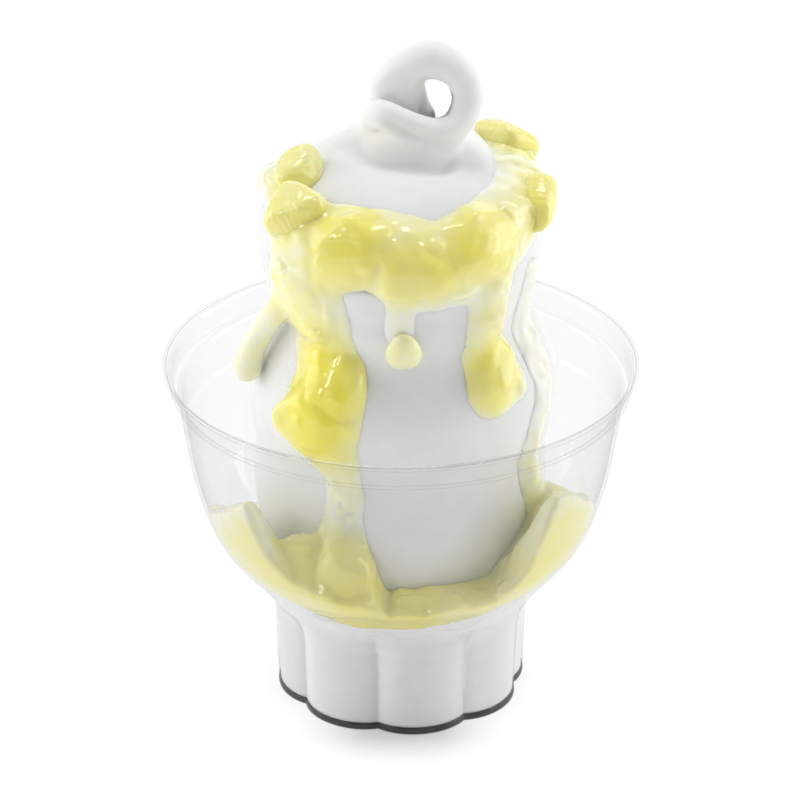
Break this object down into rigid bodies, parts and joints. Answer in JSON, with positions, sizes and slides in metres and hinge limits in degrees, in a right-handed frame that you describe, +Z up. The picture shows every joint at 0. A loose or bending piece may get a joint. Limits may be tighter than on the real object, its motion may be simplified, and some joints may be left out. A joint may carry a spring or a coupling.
{
  "type": "sundae",
  "caption": "Soft-serve sundae in a clear footed plastic cup: stacked tiers of ice cream under a looped curl, with pineapple sauce and pineapple pieces.",
  "frame": {"origin": "centre of the cup's base, on the surface it stands on", "axes": "+Z up along the cup's axis, -Y the front, +X to the right of the front"},
  "size_m": [0.095, 0.095, 0.1398],
  "materials": {
    "clear_plastic": "clear, glossy, thin-walled",
    "ice_cream": "smooth soft-serve ice cream, satin",
    "pineapple_sauce": "wet, translucent syrup",
    "pineapple": "wet, translucent fruit"
  },
  "bodies": {
    "root": {"cup": "clear_plastic", "ice_cream": "ice_cream", "sauce_collar": "pineapple_sauce", "sauce_drop": "pineapple_sauce", "sauce_pool": "pineapple_sauce", "pineapple_left": "pineapple", "pineapple_left_high": "pineapple", "pineapple_right": "pineapple", "pineapple_right_high": "pineapple", "pineapple_front_left": "pineapple", "pineapple_front": "pineapple", "pineapple_front_right": "pineapple", "pineapple_back": "pineapple", "pineapple_back_left": "pineapple", "pineapple_main_drip": "pineapple", "pineapple_main_drip_high": "pineapple", "pineapple_right_drip": "pineapple", "pineapple_bowl_left": "pineapple", "pineapple_bowl_front": "pineapple", "pineapple_bowl_right": "pineapple", "pineapple_bowl_back": "pineapple"}
  },
  "joints": []
}
